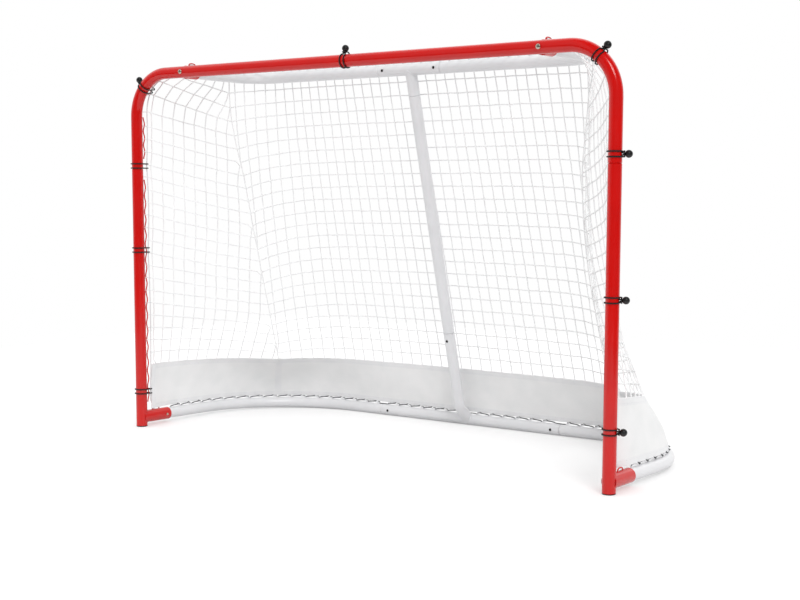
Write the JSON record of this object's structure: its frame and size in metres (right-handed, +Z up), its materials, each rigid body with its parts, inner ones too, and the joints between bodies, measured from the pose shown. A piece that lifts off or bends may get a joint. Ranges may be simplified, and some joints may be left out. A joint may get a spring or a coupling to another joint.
{
  "type": "street hockey goal",
  "caption": "Street hockey goal: red tube front frame, white shelf and base tubes, netting bag, fabric skirt and ball bungees.",
  "frame": {"origin": "on the ground, midway between the two posts and midway between the post line and the rear base bar", "axes": "+X along the crossbar towards the right post as seen by a player facing the mouth, +Y from the mouth towards the back, +Z up"},
  "size_m": [1.872, 0.743, 1.2471],
  "materials": {
    "red_enamel": "glossy red enamel on steel",
    "white_enamel": "semi-gloss white enamel on steel",
    "zinc": "zinc plated",
    "black_steel": "black oxide",
    "spring_steel": "plain spring steel",
    "black_plastic": "moulded, lightly matt",
    "black_cord": "braided cover over elastic",
    "white_twine": "twisted synthetic twine",
    "grey_cord": "braided synthetic cord",
    "white_fabric": "woven synthetic cloth, unglossy"
  },
  "bodies": {
    "frame": {"base_corner_left": "white_enamel", "base_corner_right": "white_enamel", "base_middle": "white_enamel", "base_rod_corner_left": "white_enamel", "base_rod_corner_right": "white_enamel", "base_rod_middle_left": "white_enamel", "base_rod_middle_right": "white_enamel", "base_screw_left": "black_steel", "base_screw_right": "black_steel", "bungee_cord_1_post_left": "black_cord", "bungee_cord_2_post_left": "black_cord", "bungee_cord_3_post_left": "black_cord", "bungee_cord_4_post_right": "black_cord", "bungee_cord_5_post_right": "black_cord", "bungee_cord_6_post_right": "black_cord", "bungee_cord_7_corner_left": "black_cord", "bungee_cord_8_corner_right": "black_cord", "bungee_cord_9_crossbar": "black_cord", "crossbar_bolt_left": "zinc", "crossbar_bolt_right": "zinc", "foot_cap_left": "black_plastic", "foot_cap_right": "black_plastic", "lacing_cord": "grey_cord", "lower_post_left": "red_enamel", "lower_post_right": "red_enamel", "net_back": "white_twine", "net_side_left": "white_twine", "net_side_right": "white_twine", "net_top": "white_twine", "post_rod_lower_left": "red_enamel", "post_rod_lower_right": "red_enamel", "post_rod_upper_left": "red_enamel", "post_rod_upper_right": "red_enamel", "shelf_corner_left": "white_enamel", "shelf_corner_right": "white_enamel", "shelf_middle": "white_enamel", "shelf_screw_left": "black_steel", "shelf_screw_right": "black_steel", "shelf_socket_left": "red_enamel", "shelf_socket_right": "red_enamel", "skirt_back": "white_fabric", "skirt_side_left": "white_fabric", "skirt_side_right": "white_fabric", "snap_spring_left": "spring_steel", "snap_spring_right": "spring_steel", "support_screw": "black_steel", "support_upper": "white_enamel", "upper_corner_left": "red_enamel", "upper_corner_right": "red_enamel"},
    "ball_1_post_left": {"bungee_ball_1_post_left": "black_plastic"},
    "ball_2_post_left": {"bungee_ball_2_post_left": "black_plastic"},
    "ball_3_post_left": {"bungee_ball_3_post_left": "black_plastic"},
    "ball_4_post_right": {"bungee_ball_4_post_right": "black_plastic"},
    "ball_5_post_right": {"bungee_ball_5_post_right": "black_plastic"},
    "ball_6_post_right": {"bungee_ball_6_post_right": "black_plastic"},
    "ball_7_corner_left": {"bungee_ball_7_corner_left": "black_plastic"},
    "ball_8_corner_right": {"bungee_ball_8_corner_right": "black_plastic"},
    "ball_9_crossbar": {"bungee_ball_9_crossbar": "black_plastic"},
    "button_left": {"snap_button_left": "zinc"},
    "button_right": {"snap_button_right": "zinc"}
  },
  "joints": [
    {"name": "ball_1_post_left_pull", "type": "slide", "parent": "frame", "child": "ball_1_post_left", "axis": [-0.7071, 0.7071, 0], "range_m": [0, 0.025], "stiffness_N_per_m": 400, "deforming": ["bungee_cord_1_post_left"]},
    {"name": "ball_2_post_left_pull", "type": "slide", "parent": "frame", "child": "ball_2_post_left", "axis": [-0.7071, 0.7071, 0], "range_m": [0, 0.025], "stiffness_N_per_m": 400, "deforming": ["bungee_cord_2_post_left"]},
    {"name": "ball_3_post_left_pull", "type": "slide", "parent": "frame", "child": "ball_3_post_left", "axis": [-0.7071, 0.7071, 0], "range_m": [0, 0.025], "stiffness_N_per_m": 400, "deforming": ["bungee_cord_3_post_left"]},
    {"name": "ball_4_post_right_pull", "type": "slide", "parent": "frame", "child": "ball_4_post_right", "axis": [0.9659, 0.2588, 0], "range_m": [0, 0.025], "stiffness_N_per_m": 400, "deforming": ["bungee_cord_4_post_right"]},
    {"name": "ball_5_post_right_pull", "type": "slide", "parent": "frame", "child": "ball_5_post_right", "axis": [0.9659, 0.2588, 0], "range_m": [0, 0.025], "stiffness_N_per_m": 400, "deforming": ["bungee_cord_5_post_right"]},
    {"name": "ball_6_post_right_pull", "type": "slide", "parent": "frame", "child": "ball_6_post_right", "axis": [0.9659, 0.2588, 0], "range_m": [0, 0.025], "stiffness_N_per_m": 400, "deforming": ["bungee_cord_6_post_right"]},
    {"name": "ball_7_corner_left_pull", "type": "slide", "parent": "frame", "child": "ball_7_corner_left", "axis": [-0.7071, 0, 0.7071], "range_m": [0, 0.025], "stiffness_N_per_m": 400, "deforming": ["bungee_cord_7_corner_left"]},
    {"name": "ball_8_corner_right_pull", "type": "slide", "parent": "frame", "child": "ball_8_corner_right", "axis": [0.6428, 0, 0.766], "range_m": [0, 0.025], "stiffness_N_per_m": 400, "deforming": ["bungee_cord_8_corner_right"]},
    {"name": "ball_9_crossbar_pull", "type": "slide", "parent": "frame", "child": "ball_9_crossbar", "axis": [0, 0, 1], "range_m": [0, 0.025], "stiffness_N_per_m": 400, "deforming": ["bungee_cord_9_crossbar"]},
    {"name": "button_left_press", "type": "slide", "parent": "frame", "child": "button_left", "axis": [-1, 0, 0], "range_m": [0, 0.006], "stiffness_N_per_m": 2000, "deforming": ["snap_spring_left"]},
    {"name": "button_right_press", "type": "slide", "parent": "frame", "child": "button_right", "axis": [1, 0, 0], "range_m": [0, 0.006], "stiffness_N_per_m": 2000, "deforming": ["snap_spring_right"]}
  ]
}
